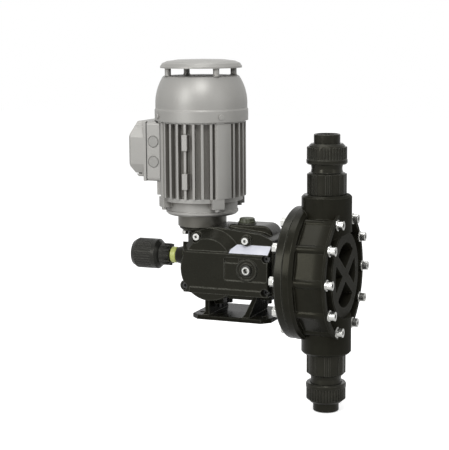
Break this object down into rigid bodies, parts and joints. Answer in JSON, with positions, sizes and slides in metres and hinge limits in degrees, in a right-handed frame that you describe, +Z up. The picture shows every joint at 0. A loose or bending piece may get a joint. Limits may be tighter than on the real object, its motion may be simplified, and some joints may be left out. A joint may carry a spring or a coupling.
{
  "type": "diaphragm metering pump",
  "caption": "Motor-driven diaphragm metering pump: vertical finned motor, worm and eccentric gearbox on a foot, stroke knob, round plastic head with ball valves above and below.",
  "frame": {"origin": "centre of the foot's bolt pattern on the foot's underside", "axes": "+X along the pump axis from the stroke knob to the pump head; -Y towards the side cover; +Z up, along the motor and valve axes"},
  "size_m": [0.3466, 0.196, 0.5125],
  "materials": {
    "cast_black": "satin dark enamel on cast aluminium",
    "sheet_black": "satin dark enamel on steel",
    "head_plastic": "satin moulded and machined plastic",
    "valve_plastic": "satin moulded plastic",
    "motor_paint": "smooth warm grey paint on cast aluminium",
    "sheet_grey": "smooth warm grey paint on pressed steel",
    "knob_plastic": "fine-grained moulded plastic",
    "ring_plastic": "yellow-green plastic",
    "plug_plastic": "olive moulded plastic",
    "knockout_plastic": "grey plastic",
    "steel": "bright zinc-plated or stainless steel",
    "shaft_steel": "ground steel",
    "bearing_steel": "polished steel with shields",
    "bronze": "machined bronze",
    "iron": "laminated iron",
    "spring_steel": "dark spring wire",
    "rubber": "black rubber",
    "diaphragm_white": "smooth white facing",
    "seat_plastic": "turned light plastic",
    "ceramic": "polished ceramic",
    "label": "blank pale plate",
    "board": "brown moulded insulating board"
  },
  "bodies": {
    "casing": {"foot_bracket": "sheet_black", "foot_screws": "steel", "main_casing": "cast_black", "cover_gasket": "rubber", "side_cover": "cast_black", "cover_screws": "steel", "drain_plug": "steel", "label_plate": "label", "filler_plug": "plug_plastic", "gearbox_bearings": "bearing_steel", "pusher_bush": "bronze", "pusher_seal": "rubber", "return_spring": "spring_steel", "knob_bush": "bronze", "scale_ring": "ring_plastic", "drive_end_shield": "motor_paint", "motor_screws": "steel", "motor_frame": "motor_paint", "stator_pack": "iron", "fan_end_shield": "motor_paint", "motor_bearings": "bearing_steel", "tie_bolts": "steel", "fan_cover": "sheet_grey", "cover_bolts": "steel", "rain_cap": "sheet_grey", "terminal_base": "motor_paint", "terminal_gasket": "rubber", "terminal_cover": "motor_paint", "terminal_screws": "steel", "terminal_block": "board", "knockouts": "knockout_plastic", "back_plate": "cast_black", "hub_screws": "steel", "diaphragm": "diaphragm_white", "pump_head": "head_plastic", "head_bolts": "steel", "head_washers": "steel", "head_nuts": "steel", "suction_valve_body": "valve_plastic", "discharge_valve_body": "valve_plastic", "suction_seat": "seat_plastic", "discharge_seat": "seat_plastic", "suction_nut": "valve_plastic", "discharge_nut": "valve_plastic", "suction_connector": "valve_plastic", "discharge_connector": "valve_plastic", "valve_gaskets": "rubber"},
    "rotor": {"rotor_core": "iron", "rotor_shaft": "shaft_steel", "cooling_fan": "knob_plastic", "worm_shaft": "shaft_steel"},
    "wheel": {"worm_wheel": "bronze", "eccentric_shaft": "shaft_steel", "roller_ring": "bearing_steel"},
    "pusher": {"pusher": "shaft_steel", "support_disc": "shaft_steel"},
    "knob": {"stroke_knob": "knob_plastic"},
    "spindle": {"adjusting_spindle": "shaft_steel"},
    "suction_ball": {"suction_ball": "ceramic"},
    "discharge_ball": {"discharge_ball": "ceramic"}
  },
  "joints": [
    {"name": "rotor_spin", "type": "hinge", "parent": "casing", "child": "rotor", "pos_m": [-0.068, 0.016, 0.2], "axis": [0, 0, 1], "continuous": true},
    {"name": "wheel_spin", "type": "hinge", "parent": "casing", "child": "wheel", "pos_m": [-0.0288, 0.016, 0.0755], "axis": [0, 1, 0], "continuous": true},
    {"name": "pusher_slide", "type": "slide", "parent": "casing", "child": "pusher", "axis": [1, 0, 0], "range_m": [0, 0.004], "stiffness_N_per_m": 2000, "deforming": ["return_spring", "diaphragm"]},
    {"name": "knob_turn", "type": "hinge", "parent": "casing", "child": "knob", "pos_m": [-0.15, 0, 0.0855], "axis": [1, 0, 0], "range_deg": [0, 720]},
    {"name": "spindle_slide", "type": "slide", "parent": "casing", "child": "spindle", "axis": [1, 0, 0], "range_m": [0, 0.004]},
    {"name": "suction_ball_lift", "type": "slide", "parent": "casing", "child": "suction_ball", "axis": [0, 0, 1], "range_m": [0, 0.004]},
    {"name": "discharge_ball_lift", "type": "slide", "parent": "casing", "child": "discharge_ball", "axis": [0, 0, 1], "range_m": [0, 0.004]}
  ],
  "couplings": [
    {"joint": "wheel_spin", "follows": "rotor_spin", "ratio": -0.033333},
    {"joint": "spindle_slide", "follows": "knob_turn", "m_per_rad": 0.00031831}
  ]
}
